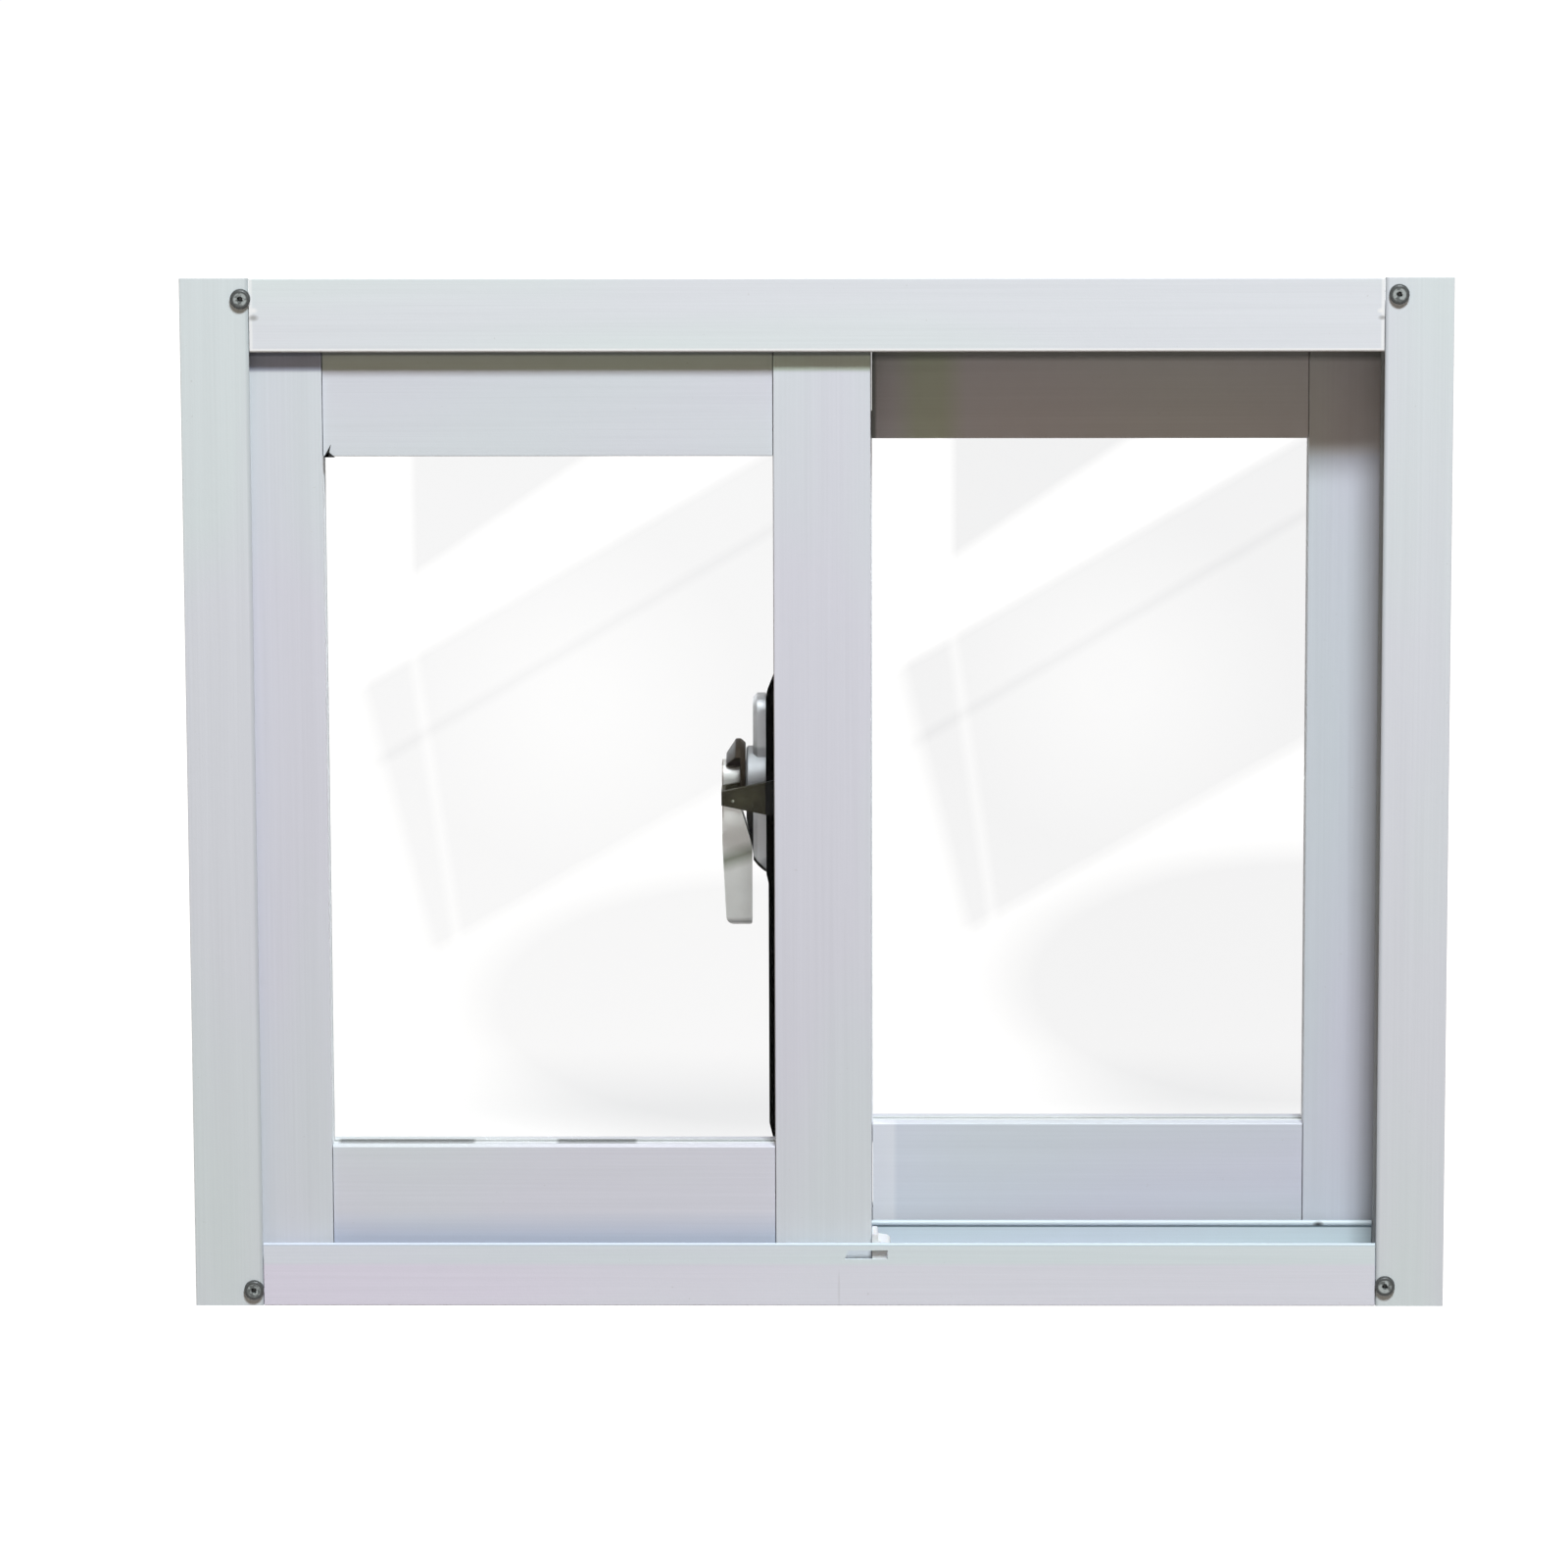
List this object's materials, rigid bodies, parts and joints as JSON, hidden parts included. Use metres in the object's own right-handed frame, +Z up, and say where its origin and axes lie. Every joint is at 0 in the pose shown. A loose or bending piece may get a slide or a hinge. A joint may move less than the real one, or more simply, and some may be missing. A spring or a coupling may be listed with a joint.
{
  "type": "sliding basement window",
  "caption": "White aluminium sliding window in a shallow frame, with glazed sashes in front and rear tracks and a crescent lock, for a small wall opening such as a basement's.",
  "frame": {"origin": "middle of the frame's underside, under the sill", "axes": "+X to the right as seen from outside, +Y into the room, +Z up; the outside face looks along -Y"},
  "size_m": [0.6, 0.078, 0.5],
  "materials": {
    "frame_white": "white powder coat, satin",
    "sash_white": "white powder coat, satin",
    "clear_glass": "clear float glass",
    "gasket_rubber": "matt black rubber",
    "pile_grey": "woven pile weather strip",
    "nylon_white": "moulded nylon",
    "packing_black": "matt black packing",
    "lock_silver": "satin silver die casting",
    "cam_bronze": "dark bronze zinc casting",
    "keeper_olive": "dark olive zinc casting",
    "pin_steel": "plain steel"
  },
  "bodies": {
    "root": {"front_sash_bottom_rail": "sash_white", "front_sash_corner_guide": "nylon_white", "front_sash_glass": "clear_glass", "front_sash_glazing_gasket": "gasket_rubber", "front_sash_meeting_stile": "sash_white", "front_sash_outer_stile": "sash_white", "front_sash_roller_housings": "nylon_white", "front_sash_roller_wheels": "nylon_white", "front_sash_top_rail": "sash_white", "front_sash_weather_pile": "pile_grey", "head": "frame_white", "jamb_left": "frame_white", "jamb_right": "frame_white", "lock_base": "lock_silver", "lock_cam": "cam_bronze", "lock_keeper": "keeper_olive", "lock_lever": "lock_silver", "lock_packing_strip": "packing_black", "lock_pivot": "pin_steel", "rear_sash_bottom_rail": "sash_white", "rear_sash_glass": "clear_glass", "rear_sash_glazing_gasket": "gasket_rubber", "rear_sash_meeting_stile": "sash_white", "rear_sash_outer_stile": "sash_white", "rear_sash_roller_housings": "nylon_white", "rear_sash_roller_wheels": "nylon_white", "rear_sash_top_rail": "sash_white", "rear_sash_weather_pile": "pile_grey", "sill": "frame_white"}
  },
  "joints": []
}
